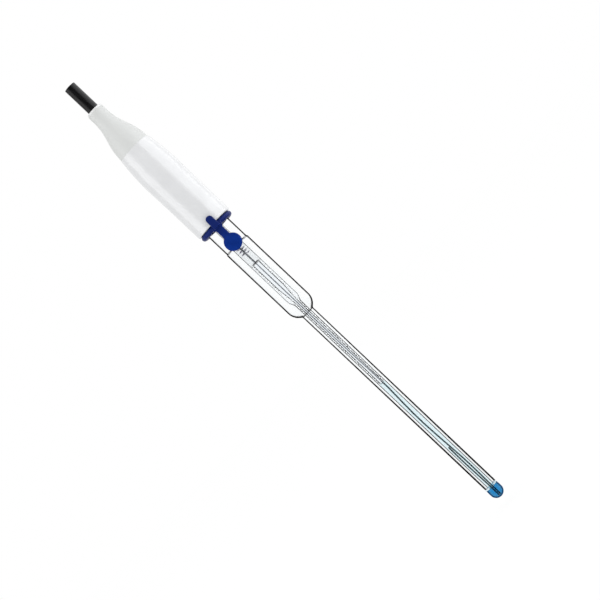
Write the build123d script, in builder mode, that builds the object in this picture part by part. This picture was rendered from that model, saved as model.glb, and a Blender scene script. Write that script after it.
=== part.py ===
from build123d import *
from math import cos, radians, sin, tan
import os

# Refillable combination glass electrode, upright, with the cable end at the top.
# Millimetres. The origin is on the long axis, half way along the stretch of the shaft
# below the stopper that a holder can grip. The stopper faces -Y.

# Outer glass
shaft_od = 12.0
shaft_wall = 1.0
shaft_length = 34.4
grip_length = 33.0
neck_od = 11.4
neck_wall = 0.9
neck_length = 13.0
neck_in_cap = 24.0
neck_step_height = 0.5
shoulder_angle = 50.0
shoulder_wall = 0.9
shoulder_radius = 5.85
shoulder_root_radius = 0.8
stem_od = 5.86
stem_wall = 0.7
stem_length = 103.5
seal_ring_thickness = 0.7
seal_ring_radius = 0.3

# Inner glass tube, drawn down thin where it enters the stem
inner_tube_od = 4.1
inner_tube_bore = 2.7
thin_tube_od = 2.5
thin_tube_bore = 1.66
bore_draw_above_shoulder = 8.2
bore_draw_length = 7.0
bore_draw_radius = 8.0
wall_draw_length = 2.4
wall_draw_radius = 5.0
inner_tube_rise = 5.4

# Sensing bulb
bulb_od = 6.1
bulb_length = 5.7
bulb_wall = 0.4
bulb_waist_length = 0.8
bulb_flare_length = 0.7
bulb_flare_radius = 1.5

# Porous ceramic plug in the stem wall
junction_diameter = 0.8
junction_height = 1.15

# Refill hole in the neck
refill_hole_diameter = 3.2
refill_hole_drop = 10.95

# Liquids and the resin at the head of the inner tube
electrolyte_level_drop = 13.2
meniscus_depth = 0.5
buffer_height = 67.5
tube_seal_rise = 13.7
tube_seal_meniscus = 1.1
tube_seal_wetting_angle = 22.0

# Measuring wire: silver, folded back on itself in the bulb
measuring_wire_diameter = 0.5
wire_tip_gap = 0.45
fold_half_width = 0.29
wire_bow = 0.42
return_bow = 0.5
return_end_offset = 0.4
wire_bow_step = 20.5
return_length = 29.5
strand_spread_height = 20.0
strand_join_height = 8.0
bend_share = 0.45

# Reference wire: silver, wound into a coil in the reservoir
reference_wire_diameter = 0.4
reference_wire_offset = 2.7
coil_radius = 0.5
coil_pitch = 1.4
coil_turns = 3
coil_top_drop = 0.5
coil_pocket_clearance = 0.15

# Bung between the two tubes at the head of the reservoir
bung_length = 8.0
bung_flange_thickness = 1.4

# Cap
cap_mouth_od = 17.6
cap_mouth_radius = 0.5
cap_straight_length = 16.9
cap_swell_od = 17.94
cap_swell_height = 28.5
cap_crown_od = 15.45
cap_crown_drop = 22.2
cap_crown_step = 0.15
cone_knee_od = 13.96
cone_knee_drop = 16.2
cone_foot_drop = 6.7
cone_bend_radius = 23.0
cap_neck_od = 7.86
cap_length = 67.0
cap_side_radius = 40.0
chamber_bore = 10.4
chamber_drop = 22.2
chamber_cone_drop = 12.2
cap_neck_bore = 6.56

# Ring seal in the mouth of the cap
o_ring_section = 1.5
o_ring_height = 5.0
o_ring_groove_width = 2.0

# Cable
cable_od = 5.3
jacket_wall = 0.6
shield_wall = 0.4
conductor_diameter = 0.9
cable_free_length = 13.7
jacket_strip_drop = 10.7
shield_strip_length = 1.5
dielectric_strip_length = 4.0

# Grommet and ferrule that hold the cable in the neck of the cap
grommet_od = 6.5
grommet_length = 7.0
grommet_flange_od = 7.54
grommet_flange_thickness = 0.9
grommet_flange_radius = 0.25
ferrule_wall = 0.5
ferrule_length = 3.0
ferrule_lip_radius = 0.15

# Joints of the wires to the cable
crimp_wall = 0.3
crimp_length = 5.0
crimp_drop = 22.7
tail_diameter = 0.4
tail_bend_radius = 0.9
tail_straight_length = 1.2
tail_jog_length = 2.6
sleeve_wall = 0.35

# Resin in the cap
potting_drop_below_crimp = 2.0

# Stopper: one silicone moulding, a ring with a pull tab and a strap with a plug
ring_od = 16.6
ring_height = 2.6
ring_edge_radius = 1.1
tab_width = 3.2
tab_reach = 3.6
tab_thickness = 1.3
tab_edge_radius = 0.35
strap_width = 3.15
strap_thickness = 1.4
strap_stub_length = 1.2
strap_gusset = 1.0
disc_diameter = 7.45
disc_thickness = 1.95
disc_edge_radius = 0.8
disc_standoff = 0.65
plug_root_diameter = 2.7
plug_tip_diameter = 2.0
plug_length = 2.0
plug_tip_radius = 0.2

# Clearances
fit_clearance = 0.03
fill_clearance = 0.03
hinge_gap = 0.06
tab_clearance = 0.3
cut_overrun = 1.0

# Heights along the axis, worked out from the middle of the gripped length
shaft_bottom = -grip_length / 2
shaft_top = shaft_bottom + shaft_length
cone_angle = radians(shoulder_angle)
shoulder_corner = shaft_bottom - shoulder_radius * tan(cone_angle / 2)
shoulder_foot = shoulder_corner - (shaft_od - stem_od) / 2 / tan(cone_angle)
stem_bottom = shoulder_foot - stem_length
bulb_tip = stem_bottom - bulb_length
cap_mouth = shaft_top + neck_length
glass_top = cap_mouth + neck_in_cap
inner_tube_top = glass_top + bung_flange_thickness + inner_tube_rise
cap_top = cap_mouth + cap_length
cable_end = cap_top + grommet_flange_thickness + cable_free_length

neck_radius = neck_od / 2
neck_bore_radius = neck_od / 2 - neck_wall
shaft_radius = shaft_od / 2
shaft_bore_radius = shaft_od / 2 - shaft_wall
stem_radius = stem_od / 2
stem_bore_radius = stem_od / 2 - stem_wall


def inner_cone_height(radius):
    """Height at which the inside of the shoulder cone has this radius."""
    start_radius = shaft_radius - shoulder_wall * cos(cone_angle)
    start_height = shoulder_corner + shoulder_wall * sin(cone_angle)
    return start_height - (start_radius - radius) / tan(cone_angle)


def bend_radii(points):
    """Largest arc for each corner of a wire: its share of the shorter run beside it."""
    radii = []
    for before, corner, after in zip(points, points[1:], points[2:]):
        run_in = Vector(corner) - Vector(before)
        run_out = Vector(after) - Vector(corner)
        turn = radians(run_in.get_angle(run_out))
        radii.append(bend_share * min(run_in.length, run_out.length) / tan(turn / 2))
    return radii


def save(part, name):
    """Label a finished piece and write its file."""
    part.label = name
    export_step(part, f"parts/{name}.step")


os.makedirs("parts", exist_ok=True)

# Outer glass: neck, shaft, shoulder and stem, drawn and fused as one
refill_hole_height = cap_mouth - refill_hole_drop
junction_centre = stem_bottom + junction_height
with BuildPart() as body_glass:
    with BuildSketch(Plane.XZ):
        with BuildLine():
            outside = FilletPolyline(
                (neck_radius, glass_top),
                (neck_radius, shaft_top + neck_step_height),
                (shaft_radius, shaft_top),
                (shaft_radius, shoulder_corner),
                (stem_radius, shoulder_foot),
                (stem_radius, stem_bottom),
                radius=[0, 0, shoulder_radius, shoulder_root_radius],
            )
            inside = FilletPolyline(
                (thin_tube_od / 2 + fit_clearance, stem_bottom),
                (thin_tube_od / 2 + fit_clearance, stem_bottom + seal_ring_thickness),
                (stem_bore_radius, stem_bottom + seal_ring_thickness),
                (stem_bore_radius, inner_cone_height(stem_bore_radius)),
                (shaft_bore_radius, inner_cone_height(shaft_bore_radius)),
                (shaft_bore_radius, shaft_top),
                (neck_bore_radius, shaft_top + neck_step_height),
                (neck_bore_radius, glass_top),
                radius=[
                    0,
                    seal_ring_radius,
                    shoulder_root_radius,
                    shoulder_radius - shoulder_wall,
                    0,
                    0,
                ],
            )
            Line(outside @ 1, inside @ 0)
            Line(inside @ 1, outside @ 0)
        make_face()
    revolve(axis=Axis.Z)
    with BuildSketch(Plane.XZ):
        with Locations((0, refill_hole_height)):
            Circle(refill_hole_diameter / 2)
    extrude(amount=neck_od, mode=Mode.SUBTRACT)
    with BuildSketch(Plane.YZ):
        with Locations((0, junction_centre)):
            Circle(junction_diameter / 2 + fit_clearance)
    extrude(amount=stem_od, mode=Mode.SUBTRACT)
save(body_glass.part, "body_glass")

# Porous ceramic junction, flush in the stem wall on the +X side
with BuildPart() as ceramic_junction:
    with BuildSketch(Plane.XY.offset(junction_centre - junction_diameter)):
        Circle(stem_radius)
        Circle(stem_bore_radius, mode=Mode.SUBTRACT)
    extrude(amount=2 * junction_diameter)
    with BuildSketch(Plane.YZ):
        with Locations((0, junction_centre)):
            Circle(junction_diameter / 2)
    extrude(amount=stem_od, mode=Mode.INTERSECT)
save(ceramic_junction.part, "ceramic_junction")

# Inner glass tube: its bore closes in first, then the thickened wall steps down
bore_draw_bottom = shoulder_foot + bore_draw_above_shoulder
bore_draw_top = bore_draw_bottom + bore_draw_length
wall_draw_top = bore_draw_bottom
wall_draw_bottom = wall_draw_top - wall_draw_length
with BuildPart() as inner_tube:
    with BuildSketch(Plane.XZ):
        with BuildLine():
            outside = FilletPolyline(
                (inner_tube_od / 2, inner_tube_top),
                (inner_tube_od / 2, wall_draw_top),
                (thin_tube_od / 2, wall_draw_bottom),
                (thin_tube_od / 2, stem_bottom),
                radius=wall_draw_radius,
            )
            inside = FilletPolyline(
                (thin_tube_bore / 2, stem_bottom),
                (thin_tube_bore / 2, bore_draw_bottom),
                (inner_tube_bore / 2, bore_draw_top),
                (inner_tube_bore / 2, inner_tube_top),
                radius=bore_draw_radius,
            )
            Line(outside @ 1, inside @ 0)
            Line(inside @ 1, outside @ 0)
        make_face()
    revolve(axis=Axis.Z)
save(inner_tube.part, "inner_tube")

# Sensing bulb, blown on the lower end of both tubes
bulb_radius = bulb_od / 2
bulb_centre = bulb_tip + bulb_radius
bulb_inner_radius = bulb_radius - bulb_wall
with BuildPart() as sensing_bulb:
    with BuildSketch(Plane.XZ):
        with BuildLine():
            waist = FilletPolyline(
                (stem_radius, stem_bottom),
                (stem_radius, stem_bottom - bulb_waist_length),
                (bulb_radius, stem_bottom - bulb_waist_length - bulb_flare_length),
                (bulb_radius, bulb_centre),
                radius=bulb_flare_radius,
            )
            RadiusArc(waist @ 1, (0, bulb_tip), bulb_radius)
            Line((0, bulb_tip), (0, bulb_tip + bulb_wall))
            RadiusArc((0, bulb_tip + bulb_wall), (bulb_inner_radius, bulb_centre), -bulb_inner_radius)
            inner_waist = FilletPolyline(
                (bulb_inner_radius, bulb_centre),
                (bulb_inner_radius, stem_bottom - bulb_waist_length - bulb_flare_length),
                (stem_radius - bulb_wall, stem_bottom - bulb_waist_length),
                (stem_radius - bulb_wall, stem_bottom),
                radius=bulb_flare_radius,
            )
            Line(inner_waist @ 1, waist @ 0)
        make_face()
    revolve(axis=Axis.Z)
save(sensing_bulb.part, "sensing_bulb")

# Measuring wire, from its crimp in the cap down the inner tube and folded in the bulb
crimp_bottom = cap_top - crimp_drop
crimp_middle = crimp_bottom + crimp_length / 2
buffer_level = bulb_tip + buffer_height
fold_bottom = bulb_tip + bulb_wall + wire_tip_gap
wire_radius = measuring_wire_diameter / 2
down_strand = [
    (0, crimp_middle - fit_clearance),
    (0, buffer_level + wire_bow_step),
    (wire_bow, buffer_level),
    (-wire_bow, buffer_level - wire_bow_step),
    (wire_bow, bulb_tip + strand_spread_height),
    (fold_half_width, bulb_tip + strand_join_height),
    (fold_half_width, fold_bottom + wire_radius),
]
up_strand = [
    (-fold_half_width, fold_bottom + wire_radius),
    (-fold_half_width, bulb_tip + strand_join_height),
    (-return_bow, bulb_tip + strand_spread_height),
    (-return_end_offset, bulb_tip + return_length),
]
down_radii = bend_radii(down_strand)
up_radii = bend_radii(up_strand)
fold_radius = fold_half_width - fit_clearance / 2
wire_path = down_strand + up_strand
wire_radii = down_radii + [fold_radius, fold_radius] + up_radii
with BuildPart() as measuring_wire:
    with BuildLine(Plane.XZ) as wire_line:
        FilletPolyline(*wire_path, radius=wire_radii)
    with BuildSketch(Plane.XY.offset(crimp_middle - fit_clearance)):
        Circle(wire_radius)
    sweep()
save(measuring_wire.part, "measuring_wire")

# Room for the wire in what surrounds it
with BuildPart() as wire_room:
    with BuildLine(Plane.XZ):
        FilletPolyline(*wire_path, radius=wire_radii)
    with BuildSketch(Plane.XY.offset(crimp_middle - fit_clearance)):
        Circle(wire_radius + fill_clearance)
    sweep()

# Inner buffer: fills the bulb and the inner tube up to its meniscus
buffer_bulb_radius = bulb_inner_radius - fill_clearance
buffer_waist_radius = stem_radius - bulb_wall - fill_clearance
buffer_radius = thin_tube_bore / 2 - fill_clearance
with BuildPart() as inner_buffer:
    with BuildSketch(Plane.XZ):
        with BuildLine():
            bowl = RadiusArc(
                (0, bulb_tip + bulb_wall + fill_clearance),
                (buffer_bulb_radius, bulb_centre),
                -buffer_bulb_radius,
            )
            waist = FilletPolyline(
                bowl @ 1,
                (buffer_bulb_radius, stem_bottom - bulb_waist_length - bulb_flare_length),
                (buffer_waist_radius, stem_bottom - bulb_waist_length),
                (buffer_waist_radius, stem_bottom - fill_clearance),
                radius=bulb_flare_radius,
            )
            column = Polyline(
                waist @ 1,
                (buffer_radius, stem_bottom - fill_clearance),
                (buffer_radius, buffer_level),
            )
            surface = SagittaArc(column @ 1, (0, buffer_level - meniscus_depth), meniscus_depth / 8)
            Line(surface @ 1, bowl @ 0)
        make_face()
    revolve(axis=Axis.Z)
    add(wire_room.part, mode=Mode.SUBTRACT)
save(inner_buffer.part, "inner_buffer")

# Resin that seals the head of the inner tube round the wire
tube_seal_bottom = bore_draw_top + tube_seal_rise
tube_seal_radius = inner_tube_bore / 2 - fit_clearance
wetting_angle = radians(tube_seal_wetting_angle)
with BuildPart() as tube_seal:
    with BuildSketch(Plane.XZ):
        with BuildLine():
            shell = Polyline(
                (wire_radius + fit_clearance, inner_tube_top),
                (tube_seal_radius, inner_tube_top),
                (tube_seal_radius, tube_seal_bottom),
            )
            hollow = TangentArc(
                shell @ 1,
                (wire_radius + fit_clearance, tube_seal_bottom + tube_seal_meniscus),
                tangent=(-sin(wetting_angle), cos(wetting_angle)),
            )
            Line(hollow @ 1, shell @ 0)
        make_face()
    revolve(axis=Axis.Z)
save(tube_seal.part, "tube_seal")

# Reference wire: straight from its crimp, wound into a coil behind the inner tube
electrolyte_level = cap_mouth - electrolyte_level_drop
coil_length = coil_pitch * coil_turns
coil_top = electrolyte_level - coil_top_drop
coil_bottom = coil_top - coil_length
reference_radius = reference_wire_diameter / 2
coil_axis_offset = reference_wire_offset + coil_radius
with BuildPart() as reference_wire:
    with BuildLine(Plane((0, coil_axis_offset, coil_bottom), x_dir=(0, -1, 0))) as turns:
        Helix(coil_pitch, coil_length, coil_radius)
    with BuildSketch(Plane(turns.line @ 0, z_dir=turns.line % 0)):
        Circle(reference_radius)
    sweep(is_frenet=True)
    with BuildSketch(Plane.XY.offset(coil_top - reference_radius)):
        with Locations((0, reference_wire_offset)):
            Circle(reference_radius)
    extrude(amount=crimp_middle - fit_clearance - coil_top + reference_radius)
save(reference_wire.part, "reference_wire")

# Reference electrolyte in the reservoir and round the inner tube down the stem
inner_room = inner_tube_od / 2 + fill_clearance
thin_room = thin_tube_od / 2 + fill_clearance
pocket_radius = coil_radius + reference_radius + coil_pocket_clearance
with BuildPart() as reference_electrolyte:
    with BuildSketch(Plane.XZ):
        with BuildLine():
            outside = FilletPolyline(
                (shaft_bore_radius - fill_clearance, electrolyte_level),
                (shaft_bore_radius - fill_clearance, inner_cone_height(shaft_bore_radius)),
                (stem_bore_radius - fill_clearance, inner_cone_height(stem_bore_radius)),
                (stem_bore_radius - fill_clearance, stem_bottom + seal_ring_thickness + fill_clearance),
                (thin_room, stem_bottom + seal_ring_thickness + fill_clearance),
                radius=[shoulder_radius - shoulder_wall, shoulder_root_radius, seal_ring_radius],
            )
            inside = FilletPolyline(
                (thin_room, stem_bottom + seal_ring_thickness + fill_clearance),
                (thin_room, wall_draw_bottom),
                (inner_room, wall_draw_top),
                (inner_room, electrolyte_level),
                radius=wall_draw_radius,
            )
            SagittaArc(inside @ 1, outside @ 0, meniscus_depth)
        make_face()
    revolve(axis=Axis.Z)
    with BuildSketch(Plane.XY.offset(coil_bottom - reference_radius - coil_pocket_clearance)):
        with Locations((0, coil_axis_offset)):
            Circle(pocket_radius)
    extrude(amount=coil_length + 2 * (reference_radius + coil_pocket_clearance), mode=Mode.SUBTRACT)
    with BuildSketch(Plane.XY.offset(coil_top)):
        with Locations((0, reference_wire_offset)):
            Circle(reference_radius + fill_clearance)
    extrude(amount=coil_top_drop + cut_overrun, mode=Mode.SUBTRACT)
save(reference_electrolyte.part, "reference_electrolyte")

# Bung: closes the reservoir between the two tubes, with its flange on the glass rim
with BuildPart() as reservoir_bung:
    with BuildSketch(Plane.XY.offset(glass_top - bung_length)):
        Circle(neck_bore_radius - fit_clearance)
    extrude(amount=bung_length)
    with BuildSketch(Plane.XY.offset(glass_top)):
        Circle(neck_radius)
    extrude(amount=bung_flange_thickness)
    with BuildSketch(Plane.XY.offset(glass_top - bung_length)):
        Circle(inner_tube_od / 2 + fit_clearance)
        with Locations((0, reference_wire_offset)):
            Circle(reference_radius + fit_clearance)
    extrude(amount=bung_length + bung_flange_thickness, mode=Mode.SUBTRACT)
save(reservoir_bung.part, "reservoir_bung")

# Cap: white moulded shell over the head of the glass, drawn in to a neck for the cable
cap_bore_radius = neck_radius + fit_clearance
seat_height = glass_top + bung_flange_thickness + fit_clearance
o_ring_centre = neck_radius + fit_clearance + o_ring_section / 2
groove_radius = neck_radius + o_ring_section + 2 * fit_clearance
crown_radius = cap_crown_od / 2
crown_height = cap_top - cap_crown_drop
swell_point = (cap_swell_od / 2, cap_mouth + cap_swell_height)
with BuildPart() as cap:
    with BuildSketch(Plane.XZ):
        with BuildLine():
            neck_side = FilletPolyline(
                (cap_neck_od / 2, cap_top),
                (cap_neck_od / 2, cap_top - cone_foot_drop),
                (cone_knee_od / 2, cap_top - cone_knee_drop),
                (crown_radius - cap_crown_step, crown_height + cap_crown_step),
                radius=cone_bend_radius,
            )
            Line(neck_side @ 1, (crown_radius, crown_height))
            TangentArc(swell_point, (crown_radius, crown_height), tangent=(0, 1))
            side = FilletPolyline(
                swell_point,
                (cap_mouth_od / 2, cap_mouth + cap_straight_length),
                (cap_mouth_od / 2, cap_mouth),
                (cap_bore_radius, cap_mouth),
                radius=[cap_side_radius, cap_mouth_radius],
            )
            bore = Polyline(
                side @ 1,
                (cap_bore_radius, cap_mouth + o_ring_height - o_ring_groove_width / 2),
                (groove_radius, cap_mouth + o_ring_height - o_ring_groove_width / 2),
                (groove_radius, cap_mouth + o_ring_height + o_ring_groove_width / 2),
                (cap_bore_radius, cap_mouth + o_ring_height + o_ring_groove_width / 2),
                (cap_bore_radius, seat_height),
                (chamber_bore / 2, seat_height),
                (chamber_bore / 2, cap_top - chamber_drop),
                (cap_neck_bore / 2, cap_top - chamber_cone_drop),
                (cap_neck_bore / 2, cap_top),
            )
            Line(bore @ 1, neck_side @ 0)
        make_face()
    revolve(axis=Axis.Z)
save(cap.part, "cap")

# Ring seal between the cap and the glass
with BuildPart() as cap_o_ring:
    with BuildSketch(Plane.XZ):
        with Locations((o_ring_centre, cap_mouth + o_ring_height)):
            Circle(o_ring_section / 2)
    revolve(axis=Axis.Z)
save(cap_o_ring.part, "cap_o_ring")

# Cable, cut square at its free end and stripped in steps inside the cap
jacket_bottom = cap_top - jacket_strip_drop
shield_bottom = jacket_bottom - shield_strip_length
dielectric_bottom = shield_bottom - dielectric_strip_length
conductor_bottom = crimp_middle + fit_clearance
cable_radius = cable_od / 2
shield_radius = cable_radius - jacket_wall - fit_clearance
dielectric_radius = shield_radius - shield_wall - fit_clearance
conductor_radius = conductor_diameter / 2
with BuildPart() as cable_jacket:
    with BuildSketch(Plane.XY.offset(jacket_bottom)):
        Circle(cable_radius)
        Circle(cable_radius - jacket_wall, mode=Mode.SUBTRACT)
    extrude(amount=cable_end - jacket_bottom)
save(cable_jacket.part, "cable_jacket")

with BuildPart() as cable_shield:
    with BuildSketch(Plane.XY.offset(shield_bottom)):
        Circle(shield_radius)
        Circle(shield_radius - shield_wall, mode=Mode.SUBTRACT)
    extrude(amount=cable_end - shield_bottom)
save(cable_shield.part, "cable_shield")

with BuildPart() as cable_dielectric:
    with BuildSketch(Plane.XY.offset(dielectric_bottom)):
        Circle(dielectric_radius)
        Circle(conductor_radius + fit_clearance, mode=Mode.SUBTRACT)
    extrude(amount=cable_end - dielectric_bottom)
save(cable_dielectric.part, "cable_dielectric")

with BuildPart() as cable_conductor:
    with BuildSketch(Plane.XY.offset(conductor_bottom)):
        Circle(conductor_radius)
    extrude(amount=cable_end - conductor_bottom)
save(cable_conductor.part, "cable_conductor")

# Grommet: its flange shows as the narrow rim at the end of the cap's neck
with BuildPart() as cable_grommet:
    with BuildSketch(Plane.XY.offset(cap_top - grommet_length)):
        Circle(grommet_od / 2)
    extrude(amount=grommet_length)
    with BuildSketch(Plane.XY.offset(cap_top)):
        Circle(grommet_flange_od / 2)
    extrude(amount=grommet_flange_thickness)
    fillet(cable_grommet.edges().group_by(Axis.Z)[-1], radius=grommet_flange_radius)
    with BuildSketch(Plane.XY.offset(cap_top - grommet_length)):
        Circle(cable_radius + fit_clearance)
    extrude(amount=grommet_length + grommet_flange_thickness, mode=Mode.SUBTRACT)
save(cable_grommet.part, "cable_grommet")

# Ferrule crimped on the jacket, which stops the cable from being pulled out
ferrule_top = cap_top - grommet_length - fit_clearance
with BuildPart() as cable_ferrule:
    with BuildSketch(Plane.XY.offset(ferrule_top - ferrule_length)):
        Circle(cable_radius + fit_clearance + ferrule_wall)
        Circle(cable_radius + fit_clearance, mode=Mode.SUBTRACT)
    extrude(amount=ferrule_length)
    fillet(cable_ferrule.edges().group_by(Axis.Z)[0], radius=ferrule_lip_radius)
save(cable_ferrule.part, "cable_ferrule")

# Crimps: the conductor to the measuring wire, the shield's tail to the reference wire
crimp_bore_radius = conductor_radius + fit_clearance
with BuildPart() as measuring_crimp:
    with BuildSketch(Plane.XY.offset(crimp_bottom)):
        Circle(crimp_bore_radius + crimp_wall)
        Circle(crimp_bore_radius, mode=Mode.SUBTRACT)
    extrude(amount=crimp_length)
save(measuring_crimp.part, "measuring_crimp")

with BuildPart() as reference_crimp:
    with BuildSketch(Plane.XY.offset(crimp_bottom)):
        with Locations((0, reference_wire_offset)):
            Circle(crimp_bore_radius + crimp_wall)
            Circle(crimp_bore_radius, mode=Mode.SUBTRACT)
    extrude(amount=crimp_length)
save(reference_crimp.part, "reference_crimp")

# Tail twisted from the shield's strands, bent over to the reference crimp
tail_start = shield_radius - shield_wall / 2 + fit_clearance
with BuildPart() as shield_tail:
    with BuildLine(Plane.YZ) as tail_line:
        FilletPolyline(
            (tail_start, shield_bottom),
            (tail_start, shield_bottom - tail_straight_length),
            (reference_wire_offset, shield_bottom - tail_straight_length - tail_jog_length),
            (reference_wire_offset, crimp_middle + fit_clearance),
            radius=tail_bend_radius,
        )
    with BuildSketch(Plane.XY.offset(shield_bottom)):
        with Locations((0, tail_start)):
            Circle(tail_diameter / 2)
    sweep()
save(shield_tail.part, "shield_tail")

# Insulating sleeve on the measuring wire, from the tube seal to its crimp
sleeve_bottom = inner_tube_top + fit_clearance
with BuildPart() as measuring_sleeve:
    with BuildSketch(Plane.XY.offset(sleeve_bottom)):
        Circle(wire_radius + fit_clearance + sleeve_wall)
        Circle(wire_radius + fit_clearance, mode=Mode.SUBTRACT)
    extrude(amount=crimp_bottom - fit_clearance - sleeve_bottom)
save(measuring_sleeve.part, "measuring_sleeve")

# Resin poured over the head of the glass, round the wires
potting_bottom = glass_top + bung_flange_thickness + 2 * fit_clearance
with BuildPart() as potting:
    with BuildSketch(Plane.XY.offset(potting_bottom)):
        Circle(chamber_bore / 2 - fit_clearance)
        Circle(wire_radius + sleeve_wall + 2 * fit_clearance, mode=Mode.SUBTRACT)
        with Locations((0, reference_wire_offset)):
            Circle(reference_radius + fit_clearance, mode=Mode.SUBTRACT)
    extrude(amount=crimp_bottom - potting_drop_below_crimp - potting_bottom)
    with BuildSketch(Plane.XY.offset(potting_bottom)):
        Circle(inner_tube_od / 2 + fit_clearance)
    extrude(amount=inner_tube_top + fit_clearance - potting_bottom, mode=Mode.SUBTRACT)
save(potting.part, "potting")

# Stopper ring round the neck of the glass, with the pull tab that lies over the cap
# and the root of the strap
ring_top = cap_mouth - fit_clearance
ring_bottom = ring_top - ring_height
strap_face = disc_standoff + shaft_radius + (disc_thickness - strap_thickness) / 2
hinge_face = strap_face + strap_thickness
hinge_height = ring_bottom - strap_stub_length
tab_face = cap_mouth_od / 2 + tab_clearance
with BuildPart() as stopper_ring:
    with BuildSketch(Plane.XY.offset(ring_bottom)):
        Circle(ring_od / 2)
    extrude(amount=ring_height)
    fillet(stopper_ring.edges(), radius=ring_edge_radius)
    with BuildSketch(Plane.XY.offset(ring_bottom)):
        with Locations((0, -(neck_radius + tab_face + tab_thickness) / 2)):
            Rectangle(tab_width, tab_face + tab_thickness - neck_radius)
    extrude(amount=ring_height)
    with BuildSketch(Plane.XZ.offset(tab_face)):
        with Locations((0, ring_top)):
            Rectangle(tab_width, 2 * (tab_reach - tab_width / 2))
        with Locations((0, ring_top + tab_reach - tab_width / 2)):
            Circle(tab_width / 2)
    extrude(amount=tab_thickness)
    fillet(stopper_ring.edges().group_by(Axis.Y)[0], radius=tab_edge_radius)
    with BuildSketch(Plane.XZ.offset(strap_face)):
        with BuildLine():
            Polyline(
                (strap_width / 2 + strap_gusset, ring_bottom + ring_height / 2),
                (strap_width / 2 + strap_gusset, ring_bottom),
                (strap_width / 2, hinge_height + hinge_gap / 2),
                (-strap_width / 2, hinge_height + hinge_gap / 2),
                (-strap_width / 2 - strap_gusset, ring_bottom),
                (-strap_width / 2 - strap_gusset, ring_bottom + ring_height / 2),
                close=True,
            )
        make_face()
    extrude(amount=strap_thickness)
    with BuildSketch(Plane.XY.offset(ring_bottom)):
        Circle(neck_radius + fit_clearance)
    extrude(amount=ring_height, mode=Mode.SUBTRACT)
save(stopper_ring.part, "stopper_ring")

# Stopper plug: strap, disc and the tapered pin in the refill hole
disc_face = shaft_radius + disc_standoff
strap_length = hinge_height - hinge_gap / 2 - refill_hole_height
with BuildPart() as stopper_plug:
    with BuildSketch(Plane.XZ.offset(disc_face)):
        with Locations((0, refill_hole_height)):
            Circle(disc_diameter / 2)
    extrude(amount=disc_thickness)
    fillet(stopper_plug.edges().sort_by(Axis.Y)[0], radius=disc_edge_radius)
    with BuildSketch(Plane.XZ.offset(strap_face)):
        with Locations((0, refill_hole_height + strap_length / 2)):
            Rectangle(strap_width, strap_length)
    extrude(amount=strap_thickness)
    with BuildSketch(Plane.XZ.offset(disc_face)):
        with Locations((0, refill_hole_height)):
            Circle(plug_root_diameter / 2)
    with BuildSketch(Plane.XZ.offset(disc_face - plug_length)):
        with Locations((0, refill_hole_height)):
            Circle(plug_tip_diameter / 2)
    loft()
    fillet(stopper_plug.edges().sort_by(Axis.Y)[-1], radius=plug_tip_radius)
save(stopper_plug.part, "stopper_plug")
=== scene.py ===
from math import cos, pi, radians, sin, tan

import bmesh
import bpy
import numpy as np
from mathutils import Matrix, Vector


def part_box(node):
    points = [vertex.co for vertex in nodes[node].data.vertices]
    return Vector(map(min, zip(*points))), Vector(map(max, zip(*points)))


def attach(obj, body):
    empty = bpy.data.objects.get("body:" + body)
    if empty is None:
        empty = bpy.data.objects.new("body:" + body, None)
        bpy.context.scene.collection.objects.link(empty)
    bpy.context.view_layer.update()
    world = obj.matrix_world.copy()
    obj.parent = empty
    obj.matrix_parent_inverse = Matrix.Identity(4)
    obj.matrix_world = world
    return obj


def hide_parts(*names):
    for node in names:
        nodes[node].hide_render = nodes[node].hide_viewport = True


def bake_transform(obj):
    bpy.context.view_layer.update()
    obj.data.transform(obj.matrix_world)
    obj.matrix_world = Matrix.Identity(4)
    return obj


# Refillable glass electrode, upright as in the part's source. Sizes are in millimetres and
# become metres when a mesh or a shader takes them.
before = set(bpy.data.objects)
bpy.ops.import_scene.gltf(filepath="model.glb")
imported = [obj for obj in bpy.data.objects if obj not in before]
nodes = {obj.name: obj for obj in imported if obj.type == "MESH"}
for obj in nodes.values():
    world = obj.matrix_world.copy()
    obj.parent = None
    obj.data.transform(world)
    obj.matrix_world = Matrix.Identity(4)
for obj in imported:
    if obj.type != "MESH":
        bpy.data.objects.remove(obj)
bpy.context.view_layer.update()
MM = 0.001


def heights(node):
    """Lowest and highest point of a CAD node, in millimetres."""
    low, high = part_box(node)
    return low.z / MM, high.z / MM


# Heights taken from the CAD nodes
bulb_tip, stem_bottom = heights("sensing_bulb")
cap_mouth, cap_top = heights("cap")
glass_top = heights("body_glass")[1]
inner_tube_top = heights("inner_tube")[1]
electrolyte_level = heights("reference_electrolyte")[1]
tube_seal_bottom = heights("tube_seal")[0]

# Heights read from the photograph
shaft_bottom, shaft_top = -16.5, 17.9
bore_draw_bottom, bore_draw_top = -13.6, -6.6
wall_draw_bottom, wall_draw_top = -16.0, -13.6
refill_hole_height = cap_mouth - 10.95
junction_height = stem_bottom + 1.15
buffer_level = bulb_tip + 67.5
crown_height = cap_top - 22.2
# The next two heights bound the darker blue on the stopper's ring, a painted shade.
ring_shade_start, ring_shade_full = 21, 29

# Radii and walls
shaft_radius, shaft_bore = 6.0, 5.0
neck_radius, neck_bore = 5.7, 4.8
stem_radius, stem_bore = 3.0, 2.23
tube_radius, tube_bore = 2.05, 1.72
thin_radius, thin_bore = 1.25, 0.94
bulb_radius, bulb_wall = 3.05, 0.4
refill_hole_radius, junction_hole_radius = 1.6, 0.41
foot_wall = 0.7
wet = 0.06  # how far a liquid reaches into its wall, so that no gap shows

# Segments of a turned piece, and the angle from which an edge stays sharp
FINE_TURN, TURN, COARSE_TURN = 160, 96, 64
SHARP_FROM = radians(35)
MERGE_DISTANCE = 1e-7


# ---- Shapes


def unit(vectors):
    """Each vector divided by its length."""
    return vectors / np.linalg.norm(vectors, axis=-1, keepdims=True)


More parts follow.
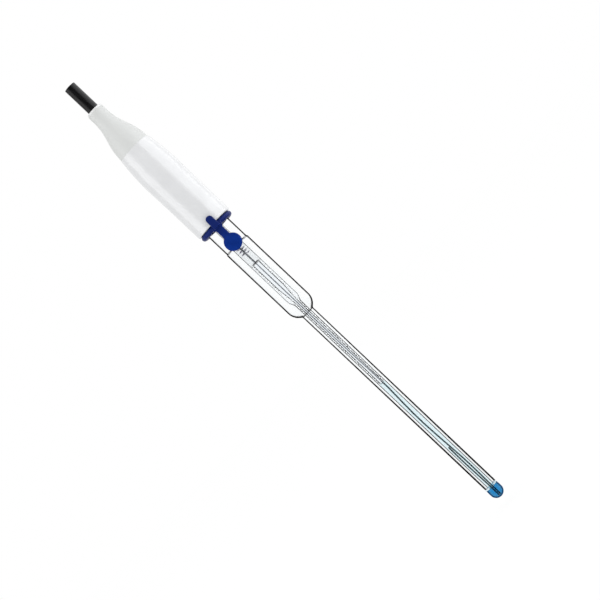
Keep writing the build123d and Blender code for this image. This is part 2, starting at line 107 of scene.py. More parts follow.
def rounded(points, radii, steps=7):
    """A run of points with an arc at each inner corner.

    The arc's circle touches both runs: it starts r / tan(half the corner's angle) before the
    corner, its centre lies r / sin(half the angle) along the bisector, and its points are
    centre + r (a cos t + b sin t) for t from 0 to the turn."""
    points = np.array(points, dtype=float)
    radius = np.broadcast_to(np.array(radii, dtype=float), len(points) - 2)[:, None]
    back = unit(points[:-2] - points[1:-1])
    ahead = unit(points[2:] - points[1:-1])
    half = np.arccos(np.clip(np.sum(back * ahead, axis=1, keepdims=True), -1, 1)) / 2
    centre = points[1:-1] + unit(back + ahead) * radius / np.sin(half)
    start = points[1:-1] + back * radius / np.tan(half)
    first = (start - centre) / radius
    turn = np.linspace(0, 1, steps)[None, :, None] * (pi - 2 * half)[:, :, None]
    arc = centre[:, None] + radius[:, None] * (
        first[:, None] * np.cos(turn) - back[:, None] * np.sin(turn)
    )
    return np.vstack([points[:1], arc.reshape(-1, points.shape[1]), points[-1:]])


def grid_quads(rows, columns, closed_rows=True):
    """Corners of the quads between neighbours in a grid whose rows close on themselves. With
    closed_rows its last row also joins its first."""
    i = np.arange(rows if closed_rows else rows - 1)[:, None]
    j = np.arange(columns)[None, :]
    below, above = i * columns, (i + 1) % rows * columns
    beside = (j + 1) % columns
    corners = [below + j, below + beside, above + beside, above + j]
    return np.stack(corners, axis=-1).reshape(-1, 4)


def solid(name, shells):
    """An object from closed shells of (points, quads): doubles merged, faces turned outwards."""
    mesh = bpy.data.meshes.new(name)
    point_sets = [points.reshape(-1, 3) * MM for points, _ in shells]
    starts = np.cumsum([0] + [len(points) for points in point_sets[:-1]])
    quads = np.vstack([quads + start for (_, quads), start in zip(shells, starts)])
    mesh.from_pydata(np.vstack(point_sets).tolist(), [], quads.tolist())
    work = bmesh.new()
    work.from_mesh(mesh)
    bmesh.ops.remove_doubles(work, verts=work.verts, dist=MERGE_DISTANCE)
    bmesh.ops.recalc_face_normals(work, faces=work.faces)
    work.to_mesh(mesh)
    work.free()
    mesh.shade_smooth()
    mesh.set_sharp_from_angle(angle=SHARP_FROM)
    piece = bpy.data.objects.new(name, mesh)
    bpy.context.scene.collection.objects.link(piece)
    return piece


def turned(profile, segments=FINE_TURN):
    """A closed profile of (radius, height) carried round the axis: x = r cos a, y = r sin a."""
    radius, height = profile[:, :1], profile[:, 1:]
    angle = np.linspace(0, 2 * pi, segments, endpoint=False)[None, :]
    around = np.broadcast_arrays(radius * np.cos(angle), radius * np.sin(angle), height)
    return np.stack(around, axis=-1), grid_quads(len(profile), segments)


def applied(piece):
    """The piece with its modifiers made part of its mesh."""
    depsgraph = bpy.context.evaluated_depsgraph_get()
    finished = bpy.data.meshes.new_from_object(piece.evaluated_get(depsgraph))
    piece.modifiers.clear()
    piece.data = finished
    finished.shade_smooth()
    return piece


def drilled(piece, holes):
    """The piece with round holes cut. Each is the place of its middle, its axis, its radius and
    its length."""
    for centre, axis, radius, length in holes:
        end = length / 2
        drill = solid(
            "drill",
            [turned(np.array([(0, -end), (radius, -end), (radius, end), (0, end)]), COARSE_TURN)],
        )
        turn = Vector((0, 0, 1)).rotation_difference(Vector(axis)).to_matrix().to_4x4()
        drill.data.transform(Matrix.Translation(Vector(centre) * MM) @ turn)
        cut = piece.modifiers.new("hole", "BOOLEAN")
        cut.object, cut.operation, cut.solver = drill, "DIFFERENCE", "EXACT"
        applied(piece)
        bpy.data.objects.remove(drill)
    piece.data.set_sharp_from_angle(angle=SHARP_FROM)
    return piece


# ---- Shader nodes


def made(tree, kind, inputs=(), **settings):
    """A new shader node. inputs gives sockets to link and values to set, by the name or the
    number of the input."""
    node = tree.nodes.new("ShaderNode" + kind)
    for name, value in settings.items():
        setattr(node, name, value)
    for key, value in dict(inputs).items():
        if isinstance(value, bpy.types.NodeSocket):
            tree.links.new(value, node.inputs[key])
        else:
            node.inputs[key].default_value = value
    return node


def joined(tree, operation, first, second):
    """Two values, or a value and a number, joined by a Math node."""
    return made(tree, "Math", {0: first, 1: second}, operation=operation).outputs[0]


def span(tree, source, low, high, at_low, at_high):
    """A value that goes from at_low to at_high while source goes from low to high."""
    limits = {"From Min": low, "From Max": high, "To Min": at_low, "To Max": at_high}
    return made(tree, "MapRange", {"Value": source, **limits}).outputs["Result"]


def zone(tree, source, low, high, at_low, at_high):
    """A span whose low and high are in millimetres."""
    return span(tree, source, low * MM, high * MM, at_low, at_high)


def mixed(tree, share, first, second, blend_type="MIX"):
    """A colour with a share of a second, constant one mixed in."""
    inputs = {0: share, 6: first, 7: (*second, 1)}
    return made(tree, "Mix", inputs, data_type="RGBA", blend_type=blend_type).outputs[2]


def object_place(tree):
    """Object coordinates, in metres."""
    return made(tree, "TexCoord").outputs["Object"]


def placed(tree):
    """Height and distance from the axis, in metres, from Object coordinates."""
    place = object_place(tree)
    flat = made(tree, "VectorMath", {0: place, 1: (1, 1, 0)}, operation="MULTIPLY").outputs[0]
    reach = made(tree, "VectorMath", {0: flat}, operation="LENGTH").outputs["Value"]
    return made(tree, "SeparateXYZ", {"Vector": place}).outputs["Z"], reach


def facing_away(tree):
    """How far the surface turns away: one less the cosine of the angle to the ray."""
    return made(tree, "LayerWeight", {"Blend": 0.5}).outputs["Facing"]


def before_diffuse(tree):
    """One on a ray that no diffuse surface has scattered yet, and nought after that."""
    return joined(tree, "LESS_THAN", made(tree, "LightPath").outputs["Diffuse Depth"], 0.5)


def seen_directly(tree):
    """One where a ray comes from the camera, a reflection or glass, and nought elsewhere."""
    path = made(tree, "LightPath")
    first = joined(tree, "MAXIMUM", path.outputs["Is Camera Ray"], path.outputs["Is Glossy Ray"])
    return joined(tree, "MAXIMUM", first, path.outputs["Is Transmission Ray"])


def noise(tree, scale, stretch):
    """Noise on Object coordinates, scale given in grains per millimetre."""
    grains = [scale / MM * share for share in stretch]
    place = made(tree, "Mapping", {"Vector": object_place(tree), "Scale": grains})
    inputs = {"Vector": place.outputs["Vector"], "Scale": 1.0, "Detail": 4.0}
    return made(tree, "TexNoise", inputs).outputs["Fac"]


def ramp(tree, source, stops):
    """The colour between stops of (position, colour) at the source's value."""
    node = made(tree, "ValToRGB", {"Fac": source})
    elements = node.color_ramp.elements
    while len(elements) < len(stops):
        elements.new(0.5)
    for element, (position, colour) in zip(elements, stops):
        element.position = position
        element.color = (*colour, 1)
    return node.outputs["Color"]


# ---- Materials


def shader(name, **values):
    """A material whose Principled shader has these constants on its own sockets."""
    material = bpy.data.materials.new(name)
    material.use_nodes = True
    principled = material.node_tree.nodes["Principled BSDF"]
    for socket, value in values.items():
        principled.inputs[socket.replace("_", " ")].default_value = value
    return material, material.node_tree, principled


def finish(
    name, tones, grain, rough=(0.4, 0.5), bump=0.1, bump_size=0.01, stretch=(1, 1, 1), **values
):
    """An opaque finish: two tones and a roughness band spread by noise, and a fine bump.

    grain is in grains per millimetre, the bump's are four times finer, and its size is in
    millimetres."""
    material, tree, principled = shader(name, **values)
    grains = noise(tree, grain, stretch)
    tone_stops = list(zip((0.35, 0.65), tones))
    rough_stops = [(place, [amount] * 3) for place, amount in zip((0.3, 0.7), rough)]
    fine = noise(tree, grain * 4, stretch)
    relief = {"Strength": bump, "Distance": bump_size * MM, "Height": fine}
    normal = made(tree, "Bump", relief).outputs["Normal"]
    tree.links.new(ramp(tree, grains, tone_stops), principled.inputs["Base Color"])
    tree.links.new(ramp(tree, grains, rough_stops), principled.inputs["Roughness"])
    tree.links.new(normal, principled.inputs["Normal"])
    return material


def zoned(material, low, high, **upper):
    """Above high, in millimetres, the material's sockets take the upper values; they change
    from low to high."""
    tree = material.node_tree
    share = zone(tree, placed(tree)[0], low, high, 0.0, 1.0)
    for name, value in upper.items():
        target = tree.nodes["Principled BSDF"].inputs[name.replace("_", " ")]
        tree.links.new(mixed(tree, share, target.links[0].from_socket, value), target)
    return material


# The glass takes a painted dark edge where it turns away from the viewer, painted shade that
# stands in for the outline that refraction gives. These say what is added to that, and between
# which heights or radii in millimetres.
NO_LINE = -1.0
BLUE_RUN, BULB_BLUE = 1.2, (0.36, 0.74, 0.9)
SHOULDER_FADE, SHOULDER_LINE = (-24, -17), 0.11
STEM_FADE, STEM_LINE = (-110, -30), 0.09
FOOT_FADE = (-124.75, -124.45)
PLUG_FADE = (0.5, 0.6)
NECK_FADE = (shaft_top + 0.6, shaft_top + 0.7)
NECK_INSIDE = neck_bore + 0.45
THIN_INSIDE, TUBE_INSIDE = 1.1, 1.88
# From here on the bore's near side takes a painted grey reflection, for the air in the bore that
# mirrors all light
PAINTED_MIRROR_FROM = 0.265


def clear(name, index, tint, edge, deep=(0, 0, 0), extra=None, blue_below=None, **values):
    """Glass or liquid, with a painted dark edge. Where the surface turns away by more than
    edge[0] it takes painted shade, and past edge[1] it passes no light: painted shade that stands
    in for the dark outline that refraction gives at a thick edge. Light on its way to the pieces
    inside isn't darkened. extra gives what is added, from height and distance to the axis, to how
    far the surface counts as turned away. Below blue_below the blue of the bulb runs into it."""
    material, tree, principled = shader(name, IOR=index, Transmission_Weight=1.0, **values)
    height, reach = placed(tree)
    away = facing_away(tree)
    if extra:
        away = joined(tree, "ADD", away, extra(tree, height, reach))
    away = joined(tree, "MULTIPLY", away, before_diffuse(tree))
    # The ramp below paints shade on the edge that turns away.
    half = [(channel + end) / 2 for channel, end in zip(tint, deep)]
    colour = ramp(tree, away, [(edge[0], tint), (sum(edge) / 2, half), (edge[1], deep)])
    if blue_below:
        share = zone(tree, height, blue_below - BLUE_RUN, blue_below, 1.0, 0.0)
        colour = mixed(tree, share, colour, BULB_BLUE, "MULTIPLY")
    tree.links.new(colour, principled.inputs["Base Color"])
    for socket, most in (("Transmission Weight", 1.0), ("Specular IOR Level", 0.5)):
        tree.links.new(span(tree, away, *edge, most, 0.0), principled.inputs[socket])
    return material


def outer_glass_painted_lines(tree, height, reach):
    """Thicker painted dark lines down the narrow stem, and none inside the neck, at the bulb or
    over the ceramic plug."""
    plug = (stem_radius * MM, 0, junction_height * MM)
    from_plug = made(tree, "VectorMath", {0: object_place(tree), 1: plug}, operation="DISTANCE")
    neck_wall = zone(tree, height, *NECK_FADE, 0.0, NECK_INSIDE * MM)
    inside_neck = joined(tree, "LESS_THAN", reach, neck_wall)
    total = joined(tree, "MULTIPLY", inside_neck, NO_LINE)
    for part in (
        zone(tree, height, *SHOULDER_FADE, SHOULDER_LINE, 0.0),
        zone(tree, height, *STEM_FADE, STEM_LINE, 0.0),
        zone(tree, height, *FOOT_FADE, NO_LINE, 0.0),
        zone(tree, from_plug.outputs["Value"], *PLUG_FADE, NO_LINE, 0.0),
    ):
        total = joined(tree, "ADD", total, part)
    return total


def inner_tube_painted_lines(tree, height, reach):
    """Painted lines of the inner tube, stronger where it is thin. Where the bore holds air its
    far side takes a painted dark line, and its near side a painted grey reflection where the air
    would mirror the light. Where the bore holds anything else it shows neither."""

    def drawn(thin, thick):
        """A value that changes where the tube is drawn down."""
        return zone(tree, height, wall_draw_bottom, wall_draw_top, thin, thick)

    wall = drawn(THIN_INSIDE * MM, TUBE_INSIDE * MM)
    inside = joined(tree, "LESS_THAN", reach, wall)
    outside = joined(tree, "GREATER_THAN", reach, wall)
    over = joined(tree, "GREATER_THAN", height, buffer_level * MM)
    under = joined(tree, "LESS_THAN", height, tube_seal_bottom * MM)
    in_air = joined(tree, "MULTIPLY", over, under)
    near_side = made(tree, "NewGeometry").outputs["Backfacing"]
    far_side = span(tree, near_side, 0.0, 1.0, 1.0, 0.0)
    away = facing_away(tree)
    # The near side's grey is a painted reflection.
    mirrors = joined(tree, "GREATER_THAN", away, PAINTED_MIRROR_FROM)
    painted_mirror_grey = joined(tree, "MULTIPLY", mirrors, drawn(0.58, 0.56))
    near = joined(tree, "MULTIPLY", near_side, joined(tree, "SUBTRACT", painted_mirror_grey, away))
    far = joined(tree, "MULTIPLY", far_side, drawn(0.38, 0.23))
    lines = joined(tree, "MULTIPLY", in_air, joined(tree, "ADD", near, far))
    bore = joined(tree, "ADD", lines, span(tree, in_air, 0.0, 1.0, NO_LINE, 0.0))
    inner = joined(tree, "MULTIPLY", inside, bore)
    outer = joined(tree, "MULTIPLY", outside, drawn(0.2, 0.0))
    return joined(tree, "ADD", inner, outer)


weak = {"Specular_Tint": (0.2, 0.2, 0.2, 1), "Roughness": 0.0}
unseen = {"Specular_Tint": (0, 0, 0, 1), "Roughness": 0.0}
clear_glass = clear(
    "clear_glass", 1.47, (0.98, 0.988, 0.99), (0.5, 0.62),
    extra=outer_glass_painted_lines, blue_below=-124.6, **weak,
)
tube_glass = clear(
    "inner_glass", 1.47, (0.97, 0.98, 0.99), (0.55, 0.7), extra=inner_tube_painted_lines, **weak
)
blue_glass = clear(
    "blue_glass", 1.47, (0.15, 0.49, 0.74), (0.22, 0.44), deep=(0.006, 0.075, 0.2), **weak
)
salt_solution = clear("salt_solution", 1.34, (0.99, 0.995, 1.0), (0.9, 1.0), **unseen)
buffer_solution = clear("buffer_solution", 1.335, (0.86, 0.97, 0.98), (0.9, 1.0), **unseen)
seal_resin = clear(
    "clear_resin", 1.5, (0.97, 0.965, 0.95), (0.6, 0.9), **{**weak, "Roughness": 0.12}
)
white_plastic = zoned(
    finish(
        "white_plastic", [(0.795, 0.803, 0.815), (0.825, 0.833, 0.845)], 0.15, (0.2, 0.27),
        0.03, 0.001, IOR=1.5,
    ),
    crown_height - 0.05, crown_height + 0.05,
    Base_Color=(0.7, 0.713, 0.703), Roughness=(0.6, 0.6, 0.6),
)
# The stopper's ring and the strap's top take a darker blue: painted shade on the one moulding.
silicone = zoned(
    finish(
        "blue_silicone", [(0.001, 0.024, 0.21), (0.002, 0.031, 0.26)], 0.5, (0.35, 0.45),
        0.1, 0.01, IOR=1.41, Specular_IOR_Level=0.08,
    ),
    ring_shade_start, ring_shade_full,
    Base_Color=(0.006, 0.018, 0.14),
)
# Below the buffer's level the silver wire takes a dark teal, a painted tint and shade from the
# cyan liquid and blue glass around it.
wire = zoned(
    finish(
        "silver", [(0.003, 0.1, 0.12), (0.012, 0.14, 0.165)], 1.5, (0.3, 0.5),
        0.2, 0.01, (1, 1, 0.15),
    ),
    buffer_level - 1, buffer_level + 1,
    Base_Color=(0.52, 0.55, 0.6),
)
finishes = {
    "silver": wire,
    "white_plastic": white_plastic,
    "clear_sleeve": clear("clear_sleeve", 1.43, (0.96, 0.96, 0.95), (0.6, 1.0)),
    "ceramic": finish(
        "ceramic", [(0.66, 0.5, 0.66), (0.8, 0.66, 0.8)], 12, (0.8, 0.95), 0.4, 0.02
    ),
    "silver_chloride": finish(
        "silver_chloride", [(0.86, 0.8, 0.98), (0.93, 0.88, 1.0)], 5, (0.6, 0.85), 0.5, 0.03
    ),
    "white_silicone": finish(
        "white_silicone", [(0.7, 0.7, 0.69), (0.76, 0.76, 0.75)], 0.8, (0.5, 0.6), IOR=1.41
    ),
    "resin": finish(
        "potting_resin", [(0.04, 0.04, 0.045), (0.07, 0.07, 0.075)], 0.6, (0.25, 0.4)
    ),
    "black_rubber": finish(
        "black_rubber", [(0.012, 0.012, 0.012), (0.025, 0.025, 0.025)], 3, (0.55, 0.7), 0.3, 0.01
    ),
    "grommet_plastic": finish(
        "grommet_plastic", [(0.78, 0.79, 0.79), (0.84, 0.84, 0.84)], 0.3, (0.25, 0.35),
        0.05, 0.004,
    ),
    "steel": finish(
        "steel", [(0.45, 0.45, 0.46), (0.6, 0.6, 0.61)], 2, (0.2, 0.35), 0.2, 0.005,
        (1, 1, 0.1), Metallic=1.0,
    ),
    "black_jacket": finish(
        "black_jacket", [(0.003, 0.003, 0.0035), (0.007, 0.007, 0.008)], 1.2, (0.26, 0.34),
        0.15, 0.01, (1, 1, 0.2), Specular_IOR_Level=0.14,
    ),
    "tinned_braid": finish(
        "tinned_braid", [(0.4, 0.4, 0.41), (0.62, 0.62, 0.63)], 5, (0.3, 0.5), 0.8, 0.05,
        Metallic=1.0,
    ),
    "natural_polyethylene": finish(
        "natural_polyethylene", [(0.62, 0.63, 0.62), (0.7, 0.71, 0.7)], 1, (0.35, 0.5)
    ),
    "copper": finish(
        "copper", [(0.6, 0.25, 0.14), (0.75, 0.36, 0.22)], 3, (0.25, 0.4), 0.2, 0.01,
        Metallic=1.0,
    ),
    "brass": finish(
        "brass", [(0.55, 0.42, 0.18), (0.7, 0.56, 0.28)], 2, (0.25, 0.4), 0.2, 0.01,
        Metallic=1.0,
    ),
}
for node in nodes.values():
    for slot in node.material_slots:
        name = slot.material.name.split(".")[0]
        slot.material = finishes.get(name, slot.material)


def place(piece, material, slot, *replaced, body="electrode"):
    """Gives a finished piece its material and body, and hides the CAD nodes that it stands for.
    """
    piece.data.materials.clear()
    piece.data.materials.append(material)
    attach(piece, body)
    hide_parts(*replaced)


# ---- Glass and liquids

shoulder_round, shoulder_slope, shoulder_wall = 5.85, radians(50), 0.9
corner = shaft_bottom - shoulder_round * tan(shoulder_slope / 2)
foot = corner - (shaft_radius - stem_radius) / tan(shoulder_slope)
bore_top = shaft_top - 0.4
bead_bore = neck_bore - 0.25
tube_hole = thin_radius + 0.03
ROUND_STEPS = 12


def inner_cone(radius):
    """Height at which the inside of the shoulder cone has this radius."""
    start = shaft_radius - shoulder_wall * cos(shoulder_slope)
    fall = (start - radius) / tan(shoulder_slope)
    return corner + shoulder_wall * sin(shoulder_slope) - fall


def bore_profile(grow):
    """Inside of the outer glass from its foot to the shaft's top, moved out by grow."""
    return rounded(
        [
            (thin_radius - grow / 2, stem_bottom + foot_wall - grow),
            (stem_bore + grow, stem_bottom + foot_wall - grow),
            (stem_bore + grow, inner_cone(stem_bore)),
            (shaft_bore + grow, inner_cone(shaft_bore)),
            (shaft_bore + grow, bore_top),
        ],
        [0.3, 0.8, 4.95],
    )


outside = rounded(
    [
        (neck_radius, glass_top),
        (neck_radius, shaft_top + 0.5),
        (shaft_radius, shaft_top),
        (shaft_radius, corner),
        (stem_radius, foot),
        (stem_radius, stem_bottom),
    ],
    [0.25, 0.25, shoulder_round, 0.8],
    9,
)
tube_passage = [(tube_hole, stem_bottom), (tube_hole, stem_bottom + foot_wall)]
bead = rounded(
    [
        (shaft_bore, bore_top),
        (shaft_bore, shaft_top - 0.1),
        (bead_bore, shaft_top + 0.15),
        (bead_bore, shaft_top + 0.35),
        (neck_bore, shaft_top + 0.6),
        (neck_bore, glass_top),
    ],
    0.12,
)
body_profile = np.vstack([outside, tube_passage, bore_profile(0.0)[1:], bead])
glass = drilled(
    solid("outer_glass", [turned(body_profile)]),
    [
        ((0, -neck_radius, refill_hole_height), (0, 1, 0), refill_hole_radius, 4.0),
        ((stem_radius, 0, junction_height), (1, 0, 0), junction_hole_radius, 2.0),
    ],
)
place(glass, clear_glass, "clear_glass", "body_glass")


def tube_outside(inset, top, bottom):
    """Outside of the inner tube from top to bottom, with its draw, moved in by inset."""
    return rounded(
        [
            (tube_radius - inset, top),
            (tube_radius - inset, wall_draw_top),
            (thin_radius - inset, wall_draw_bottom),
            (thin_radius - inset, bottom),
        ],
        5.0,
        ROUND_STEPS,
    )


tube_inside = rounded(
    [
        (thin_bore, stem_bottom),
        (thin_bore, bore_draw_bottom),
        (tube_bore, bore_draw_top),
        (tube_bore, inner_tube_top),
    ],
    8.0,
    ROUND_STEPS,
)
tube_profile = np.vstack([tube_outside(0.0, inner_tube_top, stem_bottom), tube_inside])
inner_tube = solid("inner_tube_glass", [turned(tube_profile, TURN)])
place(inner_tube, tube_glass, "inner_glass", "inner_tube")


def bulb_side(inset):
    """Profile of the bulb from its tip to the stem, inset from the outside: a half circle
    below the bulb's middle and a soft waist above it."""
    centre = bulb_tip + bulb_radius
    turn = np.linspace(0, pi / 2, 24)[:, None]
    reach = bulb_radius - inset
    bowl = np.hstack([reach * np.sin(turn), centre - reach * np.cos(turn)])
    waist = rounded(
        [
            (reach, centre),
            (reach, stem_bottom - 1.5),
            (stem_radius - inset, stem_bottom - 0.8),
            (stem_radius - inset, stem_bottom),
        ],
        1.5,
    )
    return np.vstack([bowl, waist[1:]])


bulb = solid("bulb_glass", [turned(np.vstack([bulb_side(0.0), bulb_side(bulb_wall)[::-1]]))])
place(bulb, blue_glass, "blue_glass", "sensing_bulb")

meniscus_depth = 0.5
across = np.linspace(0, 1, 9)[1:-1, None]
electrolyte_surface = np.hstack(
    [
        shaft_bore + wet + (tube_radius - shaft_bore - 2 * wet) * across,
        electrolyte_level - meniscus_depth * np.sin(pi * across) ** 0.5,
    ]
)
electrolyte_profile = np.vstack(
    [
        bore_profile(wet)[1:-1],
        [(shaft_bore + wet, electrolyte_level)],
        electrolyte_surface,
        tube_outside(wet, electrolyte_level, stem_bottom + foot_wall - wet),
    ]
)
electrolyte = solid("salt_solution", [turned(electrolyte_profile)])
place(electrolyte, salt_solution, "salt_solution", "reference_electrolyte")


def arched(radius, level, rise, count):
    """Profile from the wall to the axis whose height leaves level as a quarter ellipse does."""
    share = np.linspace(0, 1, count)[:, None]
    return np.hstack([radius * (1 - share), level + rise * (1 - (1 - share) ** 2) ** 0.5])


joint_overlap = 0.02
buffer_profile = np.vstack(
    [
        bulb_side(bulb_wall - wet)[:-1],
        [
            (stem_radius - bulb_wall + wet, stem_bottom + joint_overlap),
            (thin_bore + wet, stem_bottom + joint_overlap),
        ],
        arched(thin_bore + wet, buffer_level, -meniscus_depth, 9),
    ]
)
buffer = solid("buffer_solution", [turned(buffer_profile, TURN)])
place(buffer, buffer_solution, "buffer_solution", "inner_buffer")

seal_profile = np.vstack(
    [
        [(0, inner_tube_top), (tube_bore + wet, inner_tube_top)],
        arched(tube_bore + wet, tube_seal_bottom, 1.1, 13),
    ]
)
seal = solid("tube_seal_resin", [turned(seal_profile, COARSE_TURN)])
place(seal, seal_resin, "clear_resin", "tube_seal")


# ---- Stopper: one soft moulding across the hinge. Depths are along Y, and its front is -Y.

ring_low, ring_high = cap_mouth - 2.45, cap_mouth - 0.03
ring_inside, ring_outside = neck_radius + 0.05, 8.3
disc_back, disc_front = -6.65, -8.6
plug_tip = -disc_back - 2.0
strap_back, strap_front = -6.925, -8.325
strap_half, strap_root_half = 1.58, 2.4
tab_back, tab_front, tab_root_back = -9.1, -10.4, -7.0
tab_half = 1.6
tab_top = ring_high + 2.0
bar_low = ring_low + 0.1


def bar(outline, back, front, crown):
    """A bar of even thickness from an outline of (x, z), with its edges eased by crown.

    Rows at six depths: the first and last close the faces at the outline's middle, and the
    faces' own outlines are drawn in towards it by crown."""
    outline = np.array(outline)
    middle = outline.mean(axis=0)
    ease = (front - back) * 0.15
    depth = np.array([back, back, back + ease, front - ease, front, front])
    share = np.array([0, 1, 1, 1, 1, 0])[:, None, None]
    drawn = np.array([crown, crown, 0, 0, crown, crown])[:, None, None]
    flat = middle + share * (outline + unit(middle - outline) * drawn - middle)
    deep = np.broadcast_to(depth[:, None], flat.shape[:2])
    points = np.stack([flat[..., 0], deep, flat[..., 1]], axis=-1)
    return points, grid_quads(len(depth), len(outline), closed_rows=False)


def along(points, count=24):
    """A closed outline with count points on each of its runs."""
    points = np.array(points, dtype=float)
    ahead = np.roll(points, -1, axis=0)
    share = np.linspace(0, 1, count, endpoint=False)[None, :, None]
    return (points[:, None] + (ahead - points)[:, None] * share).reshape(-1, 2)


ring_section = rounded(
    [
        (ring_inside, ring_low + 1.3),
        (ring_inside, ring_low),
        (ring_outside, ring_low),
        (ring_outside, ring_high),
        (ring_inside, ring_high),
        (ring_inside, ring_low + 1.3),
    ],
    [0.3, 1.25, 1.25, 0.3],
)[:-1]
rim_turn = np.linspace(0, pi / 2, 10)[:, None]
rim_wide, rim_deep = 0.8, 0.75
disc_rim = np.hstack(
    [3.02 + rim_wide * np.sin(rim_turn), -disc_front - rim_deep * (1 - np.cos(rim_turn))]
)
disc_profile = np.vstack(
    [
        [(0, -disc_front), (1.5, -disc_front)],
        disc_rim,
        [(3.79, -disc_back + 0.3), (3.55, -disc_back)],
        [(1.42, -disc_back), (1.0, plug_tip + 0.1), (0.8, plug_tip), (0, plug_tip)],
    ]
)
disc_points, disc_quads = turned(disc_profile, TURN)
disc_points = np.stack(
    [disc_points[..., 0], -disc_points[..., 2], refill_hole_height + disc_points[..., 1]], axis=-1
)
tab_arc = np.linspace(0, pi, 24)[:, None]
tab_outline = np.vstack(
    [
        np.hstack([tab_half * np.cos(tab_arc), tab_top + tab_half * np.sin(tab_arc)]),
        [(-tab_half, z) for z in np.linspace(tab_top, bar_low, 10)[1:]],
        [(x, bar_low) for x in np.linspace(-tab_half, tab_half, 8)[1:-1]],
        [(tab_half, z) for z in np.linspace(bar_low, tab_top, 10)[:-1]],
    ]
)
root_high = ring_high - 0.05
tab_root = along(
    [(-tab_half, bar_low), (tab_half, bar_low), (tab_half, root_high), (-tab_half, root_high)]
)
strap_side = [
    (strap_root_half, ring_low + 1.3),
    (strap_root_half, bar_low),
    (strap_half, ring_low - 1.0),
    (strap_half, refill_hole_height),
]
strap_outline = along([(-x, z) for x, z in strap_side] + strap_side[::-1])
stopper = solid(
    "silicone_stopper",
    [
        turned(ring_section),
        (disc_points, disc_quads),
        bar(tab_outline, tab_back, tab_front, 0.25),
        bar(tab_root, tab_root_back, tab_front, 0.2),
        bar(strap_outline, strap_back, strap_front, 0.25),
    ],
)
remesh = stopper.modifiers.new("one moulding", "REMESH")
remesh.mode = "VOXEL"
remesh.voxel_size = 0.13 * MM
soften = stopper.modifiers.new("soft corners", "SMOOTH")
soften.factor, soften.iterations = 0.5, 6
applied(stopper)
stopper.data.materials.append(silicone)
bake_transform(stopper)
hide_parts("stopper_ring", "stopper_plug")


# ---- Floor and world. Sizes from here on are in metres.

floor_reach = 3
floor_height = bulb_tip * MM - 0.004
floor_corners = [(-1, -1), (1, -1), (1, 1), (-1, 1)]
floor_mesh = bpy.data.meshes.new("floor")
floor_mesh.from_pydata(
    [(x * floor_reach, y * floor_reach, floor_height) for x, y in floor_corners],
    [],
    [(0, 1, 2, 3)],
)
floor = bpy.data.objects.new("floor", floor_mesh)
bpy.context.scene.collection.objects.link(floor)
floor_material, tree, paper = shader(
    "pale_floor", Base_Color=(0.9, 0.9, 0.9, 1), Roughness=0.9, Specular_IOR_Level=0.1
)
glow = made(tree, "Emission", {"Strength": 1.03})
glow_share = joined(tree, "MULTIPLY", seen_directly(tree), 0.86)
blend_white = made(tree, "MixShader", {0: glow_share, 1: paper.outputs[0], 2: glow.outputs[0]})
tree.links.new(blend_white.outputs[0], tree.nodes["Material Output"].inputs["Surface"])
floor_mesh.materials.append(floor_material)

# The world is white, but dimmer from in front for what an outer surface mirrors, so that the
# glass doesn't turn milky. Refracted rays count as glossy too, and are left out of that.
world = bpy.data.worlds.new("studio")
bpy.context.scene.world = world
world.use_nodes = True
tree = world.node_tree
sky = tree.nodes["Background"]
sky.inputs["Color"].default_value = (1, 1, 1, 1)
path = made(tree, "LightPath")
direction = made(tree, "SeparateXYZ", {"Vector": made(tree, "TexCoord").outputs["Generated"]})
front = span(tree, direction.outputs["Y"], -0.35, 0.25, 0.15, 1.0)
level = span(tree, seen_directly(tree), 0.0, 1.0, 0.9, 1.0)
glossy = joined(tree, "MULTIPLY", path.outputs["Is Glossy Ray"], before_diffuse(tree))
not_refracted = joined(tree, "LESS_THAN", path.outputs["Is Transmission Ray"], 0.5)
mirror = joined(tree, "MULTIPLY", glossy, not_refracted)
straight = joined(tree, "MULTIPLY", span(tree, mirror, 0.0, 1.0, 1.0, 0.0), level)
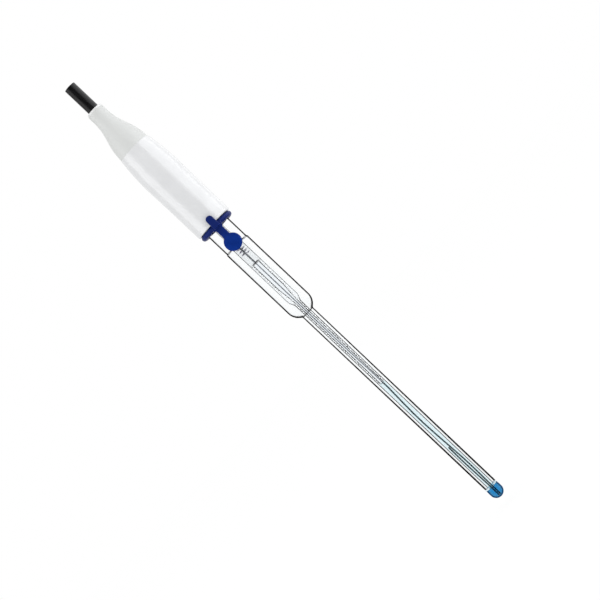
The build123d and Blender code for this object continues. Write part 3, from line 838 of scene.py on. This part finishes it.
strength = joined(tree, "ADD", joined(tree, "MULTIPLY", mirror, front), straight)
tree.links.new(strength, sky.inputs["Strength"])


# ---- Lamps and camera


def softbox(name, azimuth, height, distance, size, radiance, only_gloss=False, colour=(1, 1, 1)):
    """A flat lamp that faces the axis. Azimuth is in degrees from the viewer towards +X,
    and its power is radiance times pi times its area."""
    data = bpy.data.lights.new(name, "AREA")
    data.shape = "RECTANGLE"
    data.size, data.size_y = size
    data.energy = radiance * pi * size[0] * size[1]
    data.color = colour
    lamp = bpy.data.objects.new(name, data)
    bpy.context.scene.collection.objects.link(lamp)
    angle = radians(azimuth)
    lamp.location = (distance * sin(angle), -distance * cos(angle), height)
    aim = Vector((0, 0, 0.02)) - lamp.location
    lamp.rotation_euler = aim.to_track_quat("-Z", "Y").to_euler()
    lamp.visible_camera = False
    lamp.visible_transmission = False
    lamp.visible_diffuse = not only_gloss


softbox("window_right", 74, 0.06, 0.5, (0.74, 0.7), 3.4, only_gloss=True, colour=(0.97, 0.98, 1))
softbox("window_behind", 129, 0.06, 0.5, (0.38, 0.7), 1.0, only_gloss=True)
softbox("window_left", -71, 0.06, 0.5, (0.42, 0.7), 2.7, only_gloss=True)
softbox("ceiling", 20, 0.9, 0.35, (0.8, 0.8), 0.6)

lens_distance, view_width, sensor = 0.65, 0.2458, 36
camera_data = bpy.data.cameras.new("camera")
camera_data.sensor_width = sensor
camera_data.lens = sensor * lens_distance / view_width
camera_data.clip_end = 20
camera = bpy.data.objects.new("camera", camera_data)
bpy.context.scene.collection.objects.link(camera)
picture_right = Vector((0.6873, 0, -0.7265)).normalized()
toward_viewer = Vector((0, -1, 0))
picture_up = toward_viewer.cross(picture_right)
view = Matrix((picture_right, picture_up, toward_viewer)).transposed().to_4x4()
eye = (1.49 * MM, -lens_distance, (bulb_tip + 115.06) * MM)
camera.matrix_world = Matrix.Translation(eye) @ view
bpy.context.scene.camera = camera
bpy.context.scene.view_settings.view_transform = "Standard"
bpy.context.scene.cycles.max_bounces = 24
bpy.context.scene.cycles.transmission_bounces = 24
